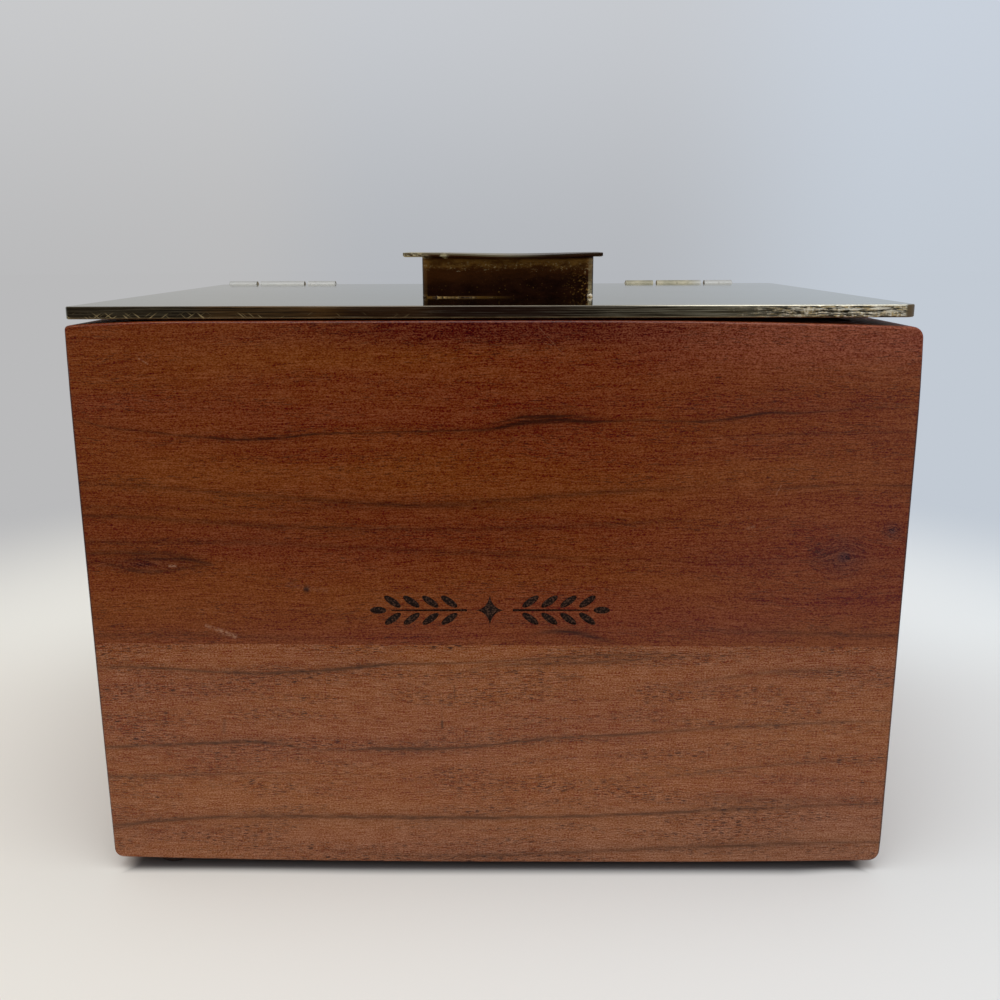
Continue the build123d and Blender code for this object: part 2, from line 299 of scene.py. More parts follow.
frontUpperGrain = {
    "veins": [
        [
            (-92, 110.2, 0.40, 0.35),
            (-86, 108.6, 0.40, 0.50),
            (-72, 107.0, 0.40, 0.60),
            (-59, 105.9, 0.50, 0.80),
            (-50, 105.9, 0.55, 0.90),
            (-40, 106.8, 0.45, 0.70),
            (-25, 107.2, 0.40, 0.60),
            (-10, 107.5, 0.45, 0.70),
            (-1, 107.9, 0.55, 0.90),
            (6, 109.2, 0.90, 1.00),
            (13, 109.8, 1.00, 1.00),
            (22, 109.5, 0.60, 0.75),
            (33, 109.8, 0.40, 0.50),
            (45, 109.5, 0.45, 0.60),
            (52, 110.2, 0.60, 0.80),
            (59, 111.3, 0.55, 0.80),
            (69, 111.5, 0.45, 0.55),
            (90, 113.0, 0.40, 0.15),
        ],
        [(-4, 108.4, 0.3, 0.0), (4, 110.1, 0.45, 0.7), (13, 110.8, 0.5, 0.8), (26, 110.2, 0.4, 0.0)],
        [
            (-92, 96.0, 1.2, 0.25),
            (-60, 93.6, 1.6, 0.35),
            (-25, 91.2, 1.7, 0.45),
            (8, 90.0, 1.5, 0.2),
            (30, 88, 1.0, 0.0),
        ],
        [
            (-30, 90.4, 1.0, 0.2),
            (7, 92.2, 1.5, 0.45),
            (19, 93.4, 1.4, 0.5),
            (34, 94.3, 1.2, 0.35),
            (60, 95.5, 1.0, 0.0),
        ],
        [
            (-92, 88.6, 0.7, 0.55),
            (-72, 87.6, 0.9, 0.35),
            (-50, 86.0, 1.0, 0.45),
            (-10, 85.3, 1.2, 0.35),
            (33, 86.6, 1.0, 0.3),
            (50, 88, 1.0, 0.0),
        ],
        [(-92, 82.4, 1.0, 0.35), (-50, 82.0, 1.3, 0.3), (0, 79.5, 1.5, 0.35), (40, 78.0, 1.5, 0.15)],
        [(-92, 79.8, 1.8, 0.40), (-84, 79.8, 2.0, 0.55), (-74, 79.7, 1.6, 0.40), (-64, 79.0, 1.0, 0.0)],
        [
            (-85, 77.8, 0.4, 0.0),
            (-81, 78.3, 0.6, 0.45),
            (-70, 78.4, 0.7, 0.7),
            (-64, 77.4, 0.6, 0.5),
            (-62, 77.0, 0.3, 0.0),
        ],
        [
            (-88, 77.6, 0.6, 0.3),
            (-82, 75.9, 0.7, 0.6),
            (-75, 75.5, 0.6, 0.45),
            (-66, 76.9, 0.5, 0.4),
            (-63, 77.0, 0.3, 0.0),
        ],
        [(40, 106.0, 0.5, 0.0), (62, 106.5, 0.5, 0.35), (78, 106.9, 0.4, 0.2), (92, 107.2, 0.4, 0.3)],
        [(55, 94.0, 0.5, 0.0), (68, 94.9, 0.6, 0.4), (82, 95.4, 0.4, 0.2), (92, 95.0, 0.7, 0.55)],
        [(6, 60.0, 0.8, 0.0), (14, 61.2, 1.2, 0.75), (22, 60.0, 1.2, 0.75), (30, 58.0, 0.8, 0.0)],
        [(30, 61.5, 0.9, 0.0), (62, 61.0, 1.2, 0.35), (92, 60.0, 1.2, 0.4)],
        [(-92, 60.2, 1.4, 0.3), (-70, 60.4, 1.4, 0.3), (-45, 59.6, 1.4, 0.2), (-30, 59.6, 1.0, 0.0)],
    ],
    "knots": [
        (78.2, 78.8, 4.6, 4.0, 0.85),
        (72.6, 79.8, 2.0, 2.2, 0.45),
        (88.6, 84.8, 2.2, 2.0, 0.95),
        (-79.0, 77.2, 9.5, 1.9, 0.5),
    ],
    "darkStrokes": [
        ((-42.9, 71.3), (-42.4, 71.2), 0.75, 1.0),
        ((-7.1, 104.5), (-6.9, 104.5), 0.30, 0.8),
        ((47.8, 119.1), (49.0, 119.1), 0.14, 0.8),
        ((-20.0, 98.5), (-17.0, 98.6), 0.12, 0.6),
    ],
    "paleStrokes": [
        ((-66.1, 62.6), (-59.4, 60.0), 0.34, 0.70),
        ((-63.4, 61.5), (-59.4, 59.8), 0.55, 0.55),
        ((-76.5, 123.4), (-74.5, 122.2), 0.16, 0.6),
        ((63.3, 95.4), (62.3, 93.1), 0.16, 0.5),
        ((56.3, 85.3), (57.9, 85.9), 0.30, 0.45),
        ((-73.4, 76.8), (-71.9, 76.8), 0.24, 1.0),
        ((-47.0, 72.4), (-38.0, 70.9), 0.55, 0.16),
        ((9.5, 130.1), (15.1, 124.0), 0.06, 0.45),
        ((10.5, 126.6), (12.5, 126.0), 0.06, 0.4),
    ],
}
frontLowerGrain = {
    "veins": [
        [
            (-93, 52.6, 0.7, 0.45),
            (-80, 52.3, 0.6, 0.70),
            (-68, 51.5, 0.6, 0.70),
            (-52, 51.0, 0.7, 0.85),
            (-38, 51.7, 0.8, 0.90),
            (-26, 53.0, 0.7, 0.85),
            (-9, 53.4, 0.5, 0.55),
            (3, 54.0, 0.4, 0.50),
            (16, 54.9, 0.5, 0.60),
            (33, 55.6, 0.8, 0.40),
            (50, 56.0, 0.8, 0.0),
        ],
        [
            (-92, 32.3, 0.8, 0.60),
            (-78, 32.8, 0.6, 0.85),
            (-62, 33.5, 0.7, 0.95),
            (-54, 33.5, 0.6, 0.85),
            (-45, 32.0, 0.5, 0.55),
            (-36, 31.6, 0.5, 0.40),
            (-27, 31.9, 0.8, 0.90),
            (-12, 32.0, 0.7, 0.90),
            (0, 33.0, 0.6, 0.80),
            (9, 34.2, 0.7, 0.90),
            (18, 34.9, 0.5, 0.75),
            (30, 35.6, 0.6, 0.80),
            (48, 37.0, 0.6, 0.50),
            (70, 38.3, 0.6, 0.60),
            (92, 39.0, 0.5, 0.30),
        ],
        [(-92, 24.6, 0.8, 0.6), (-72, 25.2, 0.6, 0.6), (-50, 25.6, 0.5, 0.35), (-25, 25.2, 0.4, 0.0)],
        [
            (-92, 11.5, 1.1, 0.85),
            (-82, 13.0, 0.8, 0.8),
            (-60, 14.3, 0.8, 0.8),
            (-30, 14.2, 0.9, 0.9),
            (-3, 14.0, 0.8, 0.9),
            (25, 14.6, 0.7, 0.85),
            (48, 15.8, 0.8, 0.85),
            (72, 17.0, 0.7, 0.6),
            (92, 17.9, 0.6, 0.5),
        ],
        [
            (-50, 5.0, 0.8, 0.0),
            (-10, 3.8, 1.0, 0.55),
            (25, 5.2, 0.9, 0.7),
            (63, 6.8, 1.0, 0.8),
            (92, 7.7, 0.6, 0.6),
        ],
        [
            (-20, 48.0, 0.6, 0.0),
            (-3, 52.4, 0.5, 0.4),
            (24, 53.6, 0.7, 0.55),
            (47, 55.2, 0.6, 0.3),
            (60, 56.0, 0.5, 0.0),
        ],
        [(20, 23.0, 0.5, 0.0), (50, 26.0, 0.5, 0.4), (75, 28.5, 0.5, 0.5), (92, 29.0, 0.4, 0.2)],
        [(45, 20.0, 1.5, 0.0), (60, 19.0, 1.8, 0.4), (75, 19.0, 1.5, 0.2), (92, 20.0, 1.0, 0.0)],
        [(30, 46.0, 0.5, 0.0), (60, 50.8, 0.8, 0.45), (80, 51.3, 0.9, 0.35), (92, 51.0, 0.6, 0.0)],
    ],
    "knots": [],
    "darkStrokes": [
        ((-9.4, 47.9), (-9.4, 44.5), 0.20, 0.55),
        ((-12.4, 43.0), (-12.4, 39.4), 0.12, 0.3),
        ((-12.4, 39.0), (-12.4, 37.2), 0.26, 0.95),
        ((-63.2, 39.4), (-63.6, 36.0), 0.40, 0.40),
        ((8.6, 42.5), (9.0, 41.5), 0.25, 0.35),
        ((14.1, 50.0), (20.5, 50.1), 0.16, 0.6),
        ((3.0, 51.3), (5.1, 51.3), 0.22, 0.6),
    ],
    "paleStrokes": [((-60.2, 57.6), (-59.2, 52.5), 0.20, 0.25), ((60.0, 36.0), (80.0, 39.5), 0.08, 0.35)],
}


def veinShade(f, along, up, points):
    low, high = -halfWidth, halfWidth
    stops = [((p[0] - low) / (high - low), (p[1] / caseTop, p[2], p[3], 1.0)) for p in points]
    ramp = f.add("ValToRGB", {"stops": stops}, {0: (along - low) / (high - low)})
    height = f.add("SeparateColor", {}, {0: ramp}, "Red")
    off = up - height * caseTop
    width = height.out("Green") * grainLook["veinWidth"]
    core = off.bell(0.0, width) * grainLook["veinCore"]
    halo = off.bell(0.0, width * grainLook["haloWidth"]) * grainLook["halo"]
    return (core + halo) * height.out("Blue")


def woodFinish(name, look, axis, seed, grain):
    growth = grainLook
    f = Finish(name)
    x, y, z = f.place()
    along, deep = (x, y) if axis == "X" else (y, x)
    a, d = along + seed * growth["seedAlong"], deep + seed * growth["seedDeep"]

    # The grain sways, and opens round each knot.
    sway = (f.pattern(a, z, d, growth["swayPitch"]) - 0.5) * growth["sway"]
    ripple = (f.pattern(a, z, d, growth["ripplePitch"]) - 0.5) * growth["ripple"]
    flow = z + sway + ripple
    knotShade = 0.0
    coreSize, coreDark = growth["knotCore"]
    ringDark, woodDark = growth["ringDark"]
    for knotAlong, knotUp, halfLength, halfHeight, dark in grain["knots"]:
        offAlong, offUp = (along - knotAlong) / halfLength, (z - knotUp) / halfHeight
        away = (offAlong * offAlong + offUp * offUp) ** 0.5
        inside = away.bell(0.0, 1.0)
        rings = f.noise(away * growth["ringCount"] + ripple * growth["ringSway"], seed, seed, 1.0)
        core = away.bell(0.0, coreSize)
        ringed = inside * (rings.step(0.38, 0.62) * ringDark + woodDark) * dark
        knotShade = ringed + core * dark * coreDark + knotShade
        flow = flow - (z - knotUp) * inside * growth["knotPull"]

    stipple = f.pattern(a, z, d, growth["stipplePitch"])
    fibre = f.pattern(a, flow, d, growth["fibrePitch"])
    streak = f.pattern(a, flow, d, growth["streakPitch"])
    broad = f.pattern(a, flow, d, growth["broadPitch"])
    hue = f.pattern(a, flow, d + growth["hueShift"], growth["huePitch"])
    figure = f.pattern(a, flow, d, growth["figurePitch"])
    poreSize = f.pattern(a, flow, d, growth["poreSizePitch"])
    poreField = f.pattern(a, flow, d, growth["poreFieldPitch"])
    pores = poreSize.step(look["poreLow"], look["poreLow"] + 0.07) * poreField.step(0.38, 0.62)

    colour = f.blend(hue.step(0.28, 0.72), paint(look["red"]), paint(look["orange"]))
    topBand = z.step(caseTop - 8.0, caseTop - 2.5) * x.bell(4.0, 48.0)
    colour = f.blend(topBand * coatLook["topBand"], colour, paint(look["top"]))
    # Painted sheen: a speckled pink highlight over the top right of the boards.
    speckled, plain = coatLook["paintedSheenStrength"]
    paintedSheen = x.step(15.0, 75.0) * z.step(caseTop - 17.0, caseTop - 2.0)
    paintedSheen = paintedSheen * (stipple.step(0.3, 0.7) * speckled + plain)
    colour = f.blend(paintedSheen, colour, paint(coatLook["paintedSheen"]))
    # Painted reflection of the pale floor: paler towards the bottom, most at the right.
    rightwards, everywhere = coatLook["paintedFloorReflectionStrength"]
    paintedFloorReflection = z.step(26.0, 4.0) * (x.step(-90.0, 90.0) * rightwards + everywhere)
    colour = f.blend(paintedFloorReflection, colour, paint(coatLook["paintedFloorReflection"]))
    if grain["knots"]:
        colour = f.blend(knotShade.lesser(growth["knotMost"]), colour, paint(look["knot"]))
    level = (stipple - 0.5) * look["stipple"] + (fibre - 0.5) * look["fibre"]
    level = level + (streak - 0.5) * look["streak"] + (broad - 0.5) * look["broad"]
    level = level + (figure - 0.5) * look["figure"]
    red, green, blue = look["lift"]
    colour = f.blend(1.0, colour, f.vector(level * red, level * green, level * blue), "ADD")

    shade = 0.0
    ragged = f.pattern(a, flow, d, growth["raggedPitch"]).step(0.34, 0.58)
    stray = (f.pattern(a, z, d, growth["strayPitch"]) - 0.5) * growth["stray"]
    for points in grain["veins"]:
        shade = veinShade(f, along, z + stray, points) + shade
    shade = (shade * (ragged * 0.45 + 0.55)).lesser(growth["veinMost"])
    colour = f.blend(shade, colour, paint(look["vein"]))
    colour = f.blend(pores * look["poreStrength"], colour, paint(look["pore"]))
    for start, end, width, strength in grain["darkStrokes"]:
        colour = f.blend(f.stroke(along, z, start, end, width) * strength, colour, paint(look["vein"]))
    scuff = f.pattern(a, z, d, growth["scuffPitch"]).step(0.36, 0.60)
    for start, end, width, strength in grain["paleStrokes"]:
        mark = f.stroke(along, z, start, end, width) * scuff * strength
        colour = f.blend(mark, colour, paint(coatLook["tan"]))
    # Painted shade: darker along the front's rounded side edges.
    rim = x.size().step(halfWidth - 0.55, halfWidth - 0.15) * y.step(frontY + 1.5, frontY + 0.7)
    colour = f.blend(rim * coatLook["rimStrength"], colour, paint(coatLook["rim"]))
    skin = (y - frontY).lesser(backY - y).lesser(halfWidth - x.size())  # depth below the outer faces
    full, gone = coatLook["depth"]
    lacquered = skin.step(gone, full)

    relief = stipple * 0.45 + fibre * 0.35 - pores * 0.8
    f.set(
        {
            "Base Color": colour,
            "Roughness": fibre * 0.16 + pores * 0.2 + 0.38,
            "Specular IOR Level": coatLook["specular"],
            "Coat Weight": lacquered * look["coat"],
            "Coat Roughness": coatLook["roughness"],
            "Normal": f.bump(relief, growth["relief"] * mm),
        }
    )
    return f.material


# Brass

lidLook = {
    "bright": "#d9c08a",
    "worn": "#8f8a78",
    "tarnish": "#3d3424",
    "deep": "#1b140b",
    # The dark middle colour paints a reflection of the dark side in front; the end and glint colours are
    # painted highlights.
    "darkMiddleReflection": "#200b03",
    "amber": "#5c3f1c",
    "olive": "#6f6a52",
    "corner": "#66543c",
    "end": "#8d8e88",
    "paintedGlint": "#fff8e0",
    "dust": "#1d1712",
    "honey": "#b79a60",
    "edge": 0.12,
    "cornerRadius": 3.4,
    "topRoughness": 0.045,
    "edgeRoughness": 0.33,
    "underRoughness": 0.25,
    "specular": 0.2,
    "grazing": (0.655, 0.690, 0.690, 1.0),
    "relief": 0.14,  # millimetres
    "stripePitch": (13.0, 0.17, 40.0, 3.0, 0.65),  # on the edge: along, up and deep
    "flakePitch": (2.2, 0.30, 40.0, 3.0, 0.75),
    "chatterPitch": (0.5, 1.6, 40.0, 2.0, 0.6),
    "smearPitch": (4.0, 0.45, 40.0, 3.0, 0.7),
    "hazePitch": (38.0, 38.0, 38.0, 3.0, 0.5),  # on the faces: x, y and z
    "dragPitch": (30.0, 0.5, 1.0, 2.0, 0.5),
    "speckPitch": (0.5, 0.9, 0.7, 1.0, 0.5),
}


def lidFinish():
    look = lidLook
    f = Finish("lidBrass")
    x, y, z = f.place()
    middle = (lidLow + lidHigh) / 2
    half = (lidHigh - lidLow) / 2
    low, high = half.x - look["edge"], half.y - look["edge"]
    sides = (x - middle.x).size().step(low, low + 0.05).greater((y - middle.y).size().step(high, high + 0.05))
    corner = ((x - middle.x).size() - half.x + look["cornerRadius"]).greater(0.0)
    cornerDeep = ((y - middle.y).size() - half.y + look["cornerRadius"]).greater(0.0)
    rounded = ((corner * corner + cornerDeep * cornerDeep) ** 0.5).step(2.6, 2.8)
    upper = z.step(lidHigh.z - 0.02, lidHigh.z - 0.005)
    under = z.step(lidLow.z + 0.08, lidLow.z + 0.02)
    edge = sides.greater(rounded) * (1.0 - upper) * (1.0 - under)
    up = z - lidLow.z

    # The sawn and filed edge: stripes in the middle, a speckled right end and scratched left end; painted
    # light on it: a dark reflection in the middle, glints, and highlights along the top arris and down the
    # left end.
    run = x + y
    stripe = f.pattern(run, z, y, look["stripePitch"])
    flake = f.pattern(run, z, y, look["flakePitch"])
    chatter = f.pattern(run, z, y, look["chatterPitch"])
    rightEnd = x.step(46.0, 74.0) * x.step(lidHigh.x - 1.8, lidHigh.x - 2.8)
    striped = x.step(2.0, 20.0)
    dense = x.step(-50.0, -68.0) * 0.07
    scratchLean = (f.noise(run / 0.55 + z * 2.2, z / 3.0, y / 40.0, 1.0) + dense).step(0.68, 0.75)
    scratchBack = (f.noise(run / 0.60 - z * 2.6, z / 3.0 + 9.0, y / 40.0, 1.0) + dense).step(0.69, 0.76)
    scratches = scratchLean.greater(scratchBack) * up.step(1.6, 0.3) * x.step(0.0, -50.0)
    wear = x.step(10.0, 90.0) * 0.80 + 0.10
    worn = striped * stripe.step(0.47, 0.58) * wear + stripe.step(0.56, 0.68) * 0.16
    lowLine = up.bell(0.15, 0.16) * (flake.step(0.3, 0.7) * 0.3 + 0.12)
    arris = up.step(lidHigh.z - lidLow.z - 0.30, lidHigh.z - lidLow.z - 0.06)
    # Painted highlight along the top arris, strongest at the right.
    paintedArrisHighlight = x.between(-30.0, 90.0, 26.0) * 0.12 + x.step(22.0, 50.0) * 0.8
    amber = x.between(-58.0, -38.0, 9.0) * 0.6 + x.between(-36.0, -18.0, 9.0) * 0.25
    olive = x.step(20.0, 60.0) * stripe.step(0.3, 0.5) * (x.step(76.0, 50.0) * 0.25 + 0.2)
    flecks = flake.step(0.50, 0.60) * rightEnd
    # Painted glints smeared over the right end.
    smear = f.pattern(run, z, y, look["smearPitch"]).step(0.50, 0.60) * rightEnd * x.step(52.0, 68.0)
    edgeColour = f.layers(
        f.blend(stripe.step(0.35, 0.65), paint(look["deep"]), paint(look["tarnish"])),
        look,
        # Painted reflection: darker in the middle, where the edge faces the dark side in front.
        (x.between(-34.0, 10.0, 14.0) * 0.85, "darkMiddleReflection"),
        (amber * stripe.step(0.30, 0.60), "amber"),
        (olive, "olive"),
        (worn.lesser(0.8), "worn"),
        ((scratches * 0.6).greater(lowLine), "bright"),
        (flake.step(0.50, 0.42) * rightEnd * 0.85, "deep"),
        (flecks, "bright"),
        (flecks * chatter.step(0.48, 0.60), "paintedGlint"),
        # Painted glints: on the flecks, smeared over the right end and along the top arris.
        (smear * up.step(0.2, 2.2), "paintedGlint"),
        (arris * paintedArrisHighlight, "paintedGlint"),
        (x.step(lidHigh.x - 2.7, lidHigh.x - 2.1), "corner"),
        # Painted highlight down the left end.
        (x.step(lidLow.x + 0.6, lidLow.x + 0.2) * 0.7, "end"),
    )

    haze = f.pattern(x, y, z, look["hazePitch"])
    drag = f.pattern(x, y, z, look["dragPitch"])
    speck = f.pattern(x, y, z, look["speckPitch"]).step(0.76, 0.80)
    hazy = haze.step(0.3, 0.75) * 0.3
    face = f.layers(paint(look["bright"]), look, (hazy, "honey"), (speck * 0.8, "dust"))
    relief = drag * 0.02 * (1.0 - edge) + (flake * rightEnd * 1.6 + stripe * 0.5 + chatter * 0.2) * edge
    polish = haze * 0.04 + look["topRoughness"]
    f.set(
        {
            "Base Color": f.blend(edge, face, edgeColour),
            "Metallic": 1.0 - (speck * (1.0 - edge)).greater(edge * (1.0 - rightEnd) * 0.6),
            "Roughness": edge * look["edgeRoughness"] + under * look["underRoughness"] + polish,
            "Specular IOR Level": look["specular"],
            "Specular Tint": look["grazing"],
            "Normal": f.bump(relief, look["relief"] * mm),
        }
    )
    return f.material


# The knob: a folded collar, and a cap whose front lip droops between the ends

capLook = {
    "thickness": 0.75,
    "droop": 0.70,
    "backSag": 0.5,
    "lipReach": 5.0,
    "middle": 5.5,
    "spread": 15.0,
    "columns": 64,
    "rows": 14,
}
knobLook = {
    "gold": "#92713a",
    "pale": "#b9b394",
    "tarnish": "#2a1206",
    "bronze": "#4e2c0e",
    "deep": "#180602",
    "black": "#080402",
    "paintedGlint": "#ffe9b8",
    "metallic": 0.5,
    "specular": 0.25,
    "grazing": (0.7, 0.66, 0.6, 1.0),
    "relief": 0.22,  # millimetres
    "cloudPitch": (4.0, 4.0, 1.8, 4.0, 0.65),
    "dragPitch": (7.0, 7.0, 0.30, 3.0, 0.6),
    "fleckPitch": (0.7, 0.7, 0.5, 2.0, 0.7),
}


def knobFinish():
    look = knobLook
    f = Finish("knobBrass")
    x, y, z = f.place()
    cloud = f.pattern(x, y, z, look["cloudPitch"])
    drag = f.pattern(x, y, z, look["dragPitch"])
    fleck = f.pattern(x, y, z, look["fleckPitch"])
    onCap = z.step(capLow.z - 0.1, capLow.z + 0.1)
    offCap = 1.0 - onCap
    up = z - collarLow.z
    tall = collarHigh.z - collarLow.z

    # Collar: a gold mottled band under the cap with painted shadow right below the cap, flecked corners
    # carrying painted highlights, a gold line near its foot, dark between.
    smear = cloud.step(0.38, 0.60)
    reach = up + (cloud - 0.5) * 4.0 + (fleck - 0.5) * 1.5
    # Painted shadow: the colours fade to dark right under the cap.
    paintedCapShadow = up.step(tall - 0.3, tall - 0.9) * 0.8 + 0.2
    band = reach.step(tall - 3.2, tall - 1.4) * paintedCapShadow * (smear * 0.7 + 0.3)
    rightSide = x.step(collarHigh.x - 9.0, collarHigh.x - 1.2)
    rightEdge = x.between(collarHigh.x - 1.2, collarHigh.x - 0.5, 0.25)
    leftEdge = x.between(collarLow.x + 0.4, collarLow.x + 1.1, 0.3)
    # Painted highlights in gold down both rounded side corners, where they reflect the bright sides.
    paintedLeftHighlight = leftEdge * (up.step(tall - 7.0, tall) * 0.6 + up.step(1.4, 0.3)).greater(0.25)
    paintedCornerHighlights = (rightEdge * 0.35).greater(paintedLeftHighlight * 0.6) * (drag.step(0.30, 0.55) * 0.5 + 0.5)
    footLine = up.step(0.42, 0.20) * drag.step(0.30, 0.55) * x.step(collarHigh.x - 18.0, collarLow.x + 10.0)
    sideFlecks = fleck.step(0.56, 0.66) * rightSide * (up.step(8.0, 2.0) * 0.6 + 0.3)
    strewn = fleck.step(0.66, 0.76) * (up.step(6.0, 1.5) * 0.5 + 0.1)
    collarGoldAndHighlights = band * (x.step(20.0, -12.0) * 0.2 + rightSide * 0.3 + 0.55)
    for gold in (paintedCornerHighlights * 0.8, sideFlecks, footLine * 0.6, strewn):
        collarGoldAndHighlights = collarGoldAndHighlights.greater(gold)
    # Painted shade: black along both side edges of the collar.
    outline = x.step(collarLow.x + 0.35, collarLow.x + 0.1) + x.step(collarHigh.x - 0.35, collarHigh.x - 0.1)

    # Cap: pale along the front lip as a painted highlight, speckled at the left end, with a ragged chip.
    leftEnd = x.step(collarLow.x + 3.0, collarLow.x - 1.5)
    below = capHigh.z - x.bell(capLook["middle"], capLook["spread"]) * capLook["droop"] - z
    # Painted highlight: pale along the front lip, most at the left.
    lip = below.step(0.50, 0.25) * (x.step(14.0, 0.0) * 0.35 + 0.05)
    capHighlightAndWear = lip.greater(leftEnd * fleck.step(0.40, 0.56))
    chipReach = (x - collarLow.x - 5.6).size() + (capHigh.z - 0.7 - z).size() * 1.4 + (fleck - 0.5) * 2.2
    capHighlightAndWear = capHighlightAndWear.greater(chipReach.step(1.4, 0.8))

    # Painted highlights: pale down the right edge, pale glints in the gold band, and near-white glints at the
    # collar's lower right and on the cap's left end.
    paintedRightHighlight = rightEdge * offCap * (up.step(5.0, 1.0) * 0.5 + 0.2)
    paintedBandGlints = reach.between(tall - 2.8, tall - 1.0, 0.6) * fleck.step(0.56, 0.66) * cloud.step(0.40, 0.60)
    paintedGlint = fleck.step(0.58, 0.70) * (rightEdge * up.step(4.0, 1.0) * offCap).greater(leftEnd * onCap)
    colour = f.layers(
        f.blend(cloud.step(0.3, 0.7), paint(look["deep"]), paint(look["tarnish"])),
        look,
        (x.step(12.0, -14.0) * up.step(2.0, 5.0) * 0.5, "bronze"),
        (reach.step(tall - 6.0, tall - 2.0) * paintedCapShadow * 0.75, "bronze"),
        (collarGoldAndHighlights * offCap, "gold"),
        (paintedRightHighlight * (drag.step(0.3, 0.6) * 0.6 + 0.4), "pale"),
        (paintedBandGlints * paintedCapShadow * 0.45 * offCap, "pale"),
        (outline * offCap, "black"),
        (capHighlightAndWear * onCap, "pale"),
        (paintedGlint, "paintedGlint"),
    )
    f.set(
        {
            "Base Color": colour,
            "Metallic": look["metallic"],
            "Roughness": cloud * 0.25 + 0.22,
            "Specular IOR Level": look["specular"],
            "Specular Tint": look["grazing"],
            "Normal": f.bump(cloud * 0.7 + drag * 0.25 + fleck * 0.3, look["relief"] * mm),
        }
    )
    return f.material


hingeLook = {
    "gold": "#b59a5c",
    "dull": "#6b5630",
    # The next three colours paint a reflection of the pale backdrop on the knuckles.
    "reflectionGold": "#a9a38e",
    "reflectionDull": "#8f8b78",
    "pale": "#b5b6b6",
    "dark": "#4d4430",
    "grazing": (0.6, 0.57, 0.5, 1.0),
    "relief": 0.06,  # millimetres
    "cloudPitch": (4.0, 3.0, 3.0, 3.0, 0.5),
    "scratchPitch": (8.0, 0.3, 0.3, 2.0, 0.5),
    "spotPitch": (0.9, 0.9, 0.9, 2.0, 0.5),
}


def hingeFinish():
    look = hingeLook
    f = Finish("hingeBrass")
    x, y, z = f.place()
    cloud = f.pattern(x, y, z, look["cloudPitch"])
    scratch = f.pattern(x, y, z, look["scratchPitch"])
    spot = f.pattern(x, y, z, look["spotPitch"]).step(0.66, 0.74)
    worn = cloud.step(0.35, 0.7) * (1.0 - spot * 0.8)
    # Above the plate, the front of each knuckle is painted pale, a painted reflection of the pale backdrop,
    # most of all on the left hinge.
    front = y.step(hingeAxisY + 0.5, hingeAxisY - 0.5) * z.step(lidHigh.z - 0.4, lidHigh.z - 0.1)
    colour = f.blend(worn, paint(look["dull"]), paint(look["gold"]))
    paintedBackdropReflection = f.blend(worn, paint(look["reflectionDull"]), paint(look["reflectionGold"]))
    paintedBackdropReflection = f.blend(x.step(0.0, -30.0).greater(x.step(62.0, 70.0)) * 0.8, paintedBackdropReflection, paint(look["pale"]))
    colour = f.blend(front, colour, paintedBackdropReflection)
    colour = f.blend(spot * 0.5, colour, paint(look["dark"]))
    f.set(
        {
            "Base Color": colour,
            "Metallic": 1.0 - front * 0.5,
            "Roughness": cloud * 0.12 + scratch * 0.14 + front * 0.20 + 0.22,
            "Specular Tint": look["grazing"],
            "Normal": f.bump(scratch * 0.4 + spot * 0.4, look["relief"] * mm),
        }
    )
    return f.material


# Rubber, plywood and charred wood

rubberLook = {"clean": "#2a1812", "dusty": "#4a352b", "relief": 0.06, "dustPitch": (1.2, 1.2, 1.2, 3.0, 0.5)}


def rubberFinish():
    look = rubberLook
    f = Finish("footRubber")
    x, y, z = f.place()
    dust = f.pattern(x, y, z, look["dustPitch"])
    colour = f.blend(dust.step(0.45, 0.75) * 0.5, paint(look["clean"]), paint(look["dusty"]))
    normal = f.bump(dust, look["relief"] * mm)
    f.set({"Base Color": colour, "Roughness": dust * 0.2 + 0.5, "Normal": normal})
    return f.material


plywoodLook = {
    "dark": "#8a5f3a",
    "light": "#c19a6b",
    "seam": "#5a3820",
    "ply": 1.1,
    "sway": 9.0,
    "relief": 0.05,
    "swayPitch": (60.0, 30.0, 30.0, 2.0, 0.5),
    "bandPitch": (90.0, 4.0, 9.0, 4.0, 0.6),
    "fibrePitch": (12.0, 0.4, 0.6, 2.0, 0.5),
}


def plywoodFinish():
    look = plywoodLook
    f = Finish("basePlywood")
    x, y, z = f.place()
    sway = (f.pattern(x, y, z, look["swayPitch"]) - 0.5) * look["sway"]
    bands = f.pattern(x, y + sway, z, look["bandPitch"])
    fibre = f.pattern(x, y, z, look["fibrePitch"])
    plies = z / look["ply"]
    ply = plies.calc("FRACT", plies).step(0.30, 0.5)
    tone = bands.step(0.3, 0.7) * 0.6 + fibre * 0.4
    colour = f.blend(tone, paint(look["dark"]), paint(look["light"]))
    colour = f.blend(ply * 0.15, colour, paint(look["seam"]))
    normal = f.bump(fibre, look["relief"] * mm)
    f.set({"Base Color": colour, "Roughness": fibre * 0.2 + 0.5, "Normal": normal})
    return f.material


charLook = {
    "char": "#1a0c07",
    "ash": "#5e4030",
    "soot": "#0c0605",
    "roughness": 0.6,
    "specular": 0.12,
    "relief": 0.12,
    "ashPitch": (0.45, 0.40, 1.0, 2.0, 0.6),
    "ribPitch": (2.2, 0.22, 1.0, 1.0, 0.5),
}


